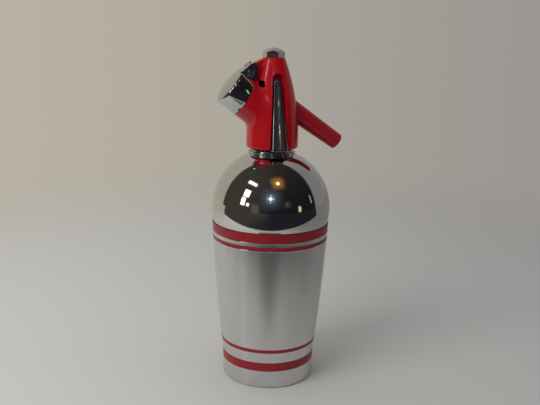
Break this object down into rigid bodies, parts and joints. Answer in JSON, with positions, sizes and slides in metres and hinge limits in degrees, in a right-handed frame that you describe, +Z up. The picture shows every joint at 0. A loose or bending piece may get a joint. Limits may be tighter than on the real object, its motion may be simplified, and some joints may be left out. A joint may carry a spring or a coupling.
{
  "type": "soda siphon",
  "caption": "Soda siphon: domed aluminium bottle with lacquered stripes, conical head with squeeze lever, slanted spout, hinged gas-charger cover and cap nut.",
  "frame": {"origin": "centre of the bottle's base, on the surface it stands on", "axes": "+Z up along the bottle's axis, +X towards the spout, -X towards the charger cover, -Y towards the squeeze lever"},
  "size_m": [0.1342, 0.121, 0.341],
  "materials": {
    "bottle_metal": "satin body with a mirror-polished dome",
    "collar_chrome": "polished",
    "stripe_lacquer": "lacquer over metal",
    "head_red": "glossy moulded",
    "spout_red": "glossy moulded, darker",
    "cast_brass": "cast, dull",
    "turned_brass": "turned",
    "chrome": "polished",
    "steel": "turned",
    "seal_rubber": "matt",
    "tube_plastic": "milky"
  },
  "bodies": {
    "bottle": {"bottle": "bottle_metal", "neck_collar": "collar_chrome", "shoulder_stripe_wide": "stripe_lacquer", "shoulder_stripe_narrow": "stripe_lacquer", "base_stripe_narrow": "stripe_lacquer", "base_stripe_wide": "stripe_lacquer"},
    "head": {"head_cover": "head_red", "valve_body": "cast_brass", "cap_nut": "chrome", "cap_washer": "seal_rubber", "spout": "spout_red", "spout_seal": "seal_rubber", "charger_sleeve": "turned_brass", "piercing_pin": "steel", "pin_gasket": "seal_rubber", "non_return_sleeve": "seal_rubber", "valve_seat": "steel", "valve_gland": "turned_brass", "gland_ring": "seal_rubber", "valve_plug": "turned_brass", "plug_washer": "seal_rubber", "valve_spring": "steel", "lever_pin": "steel", "cover_hinge_pin": "steel", "dip_tube": "tube_plastic", "dip_tube_nut": "turned_brass", "neck_seal": "seal_rubber"},
    "lever": {"lever": "chrome", "lever_stop_pin": "steel"},
    "valve": {"valve_stem": "steel", "valve_washer": "seal_rubber"},
    "cover": {"charger_cover": "chrome", "charger_pad": "seal_rubber"}
  },
  "joints": [
    {"name": "head_lift", "type": "slide", "parent": "bottle", "child": "head", "axis": [0, 0, 1], "range_m": [0, 0.245]},
    {"name": "lever_press", "type": "hinge", "parent": "head", "child": "lever", "pos_m": [0, -0.0136, 0.30597], "axis": [1, 0, 0], "range_deg": [0, 4], "stiffness_Nm_per_rad": 0.5, "springref_deg": -5.73},
    {"name": "valve_stroke", "type": "slide", "parent": "head", "child": "valve", "axis": [0, 1, 0], "range_m": [0, 0.0042], "deforming": ["valve_spring"]},
    {"name": "cover_open", "type": "hinge", "parent": "head", "child": "cover", "pos_m": [-0.02319, 0, 0.32061], "axis": [0, 1, 0], "range_deg": [0, 100]}
  ],
  "couplings": [
    {"joint": "valve_stroke", "follows": "lever_press", "m_per_rad": 0.057}
  ]
}
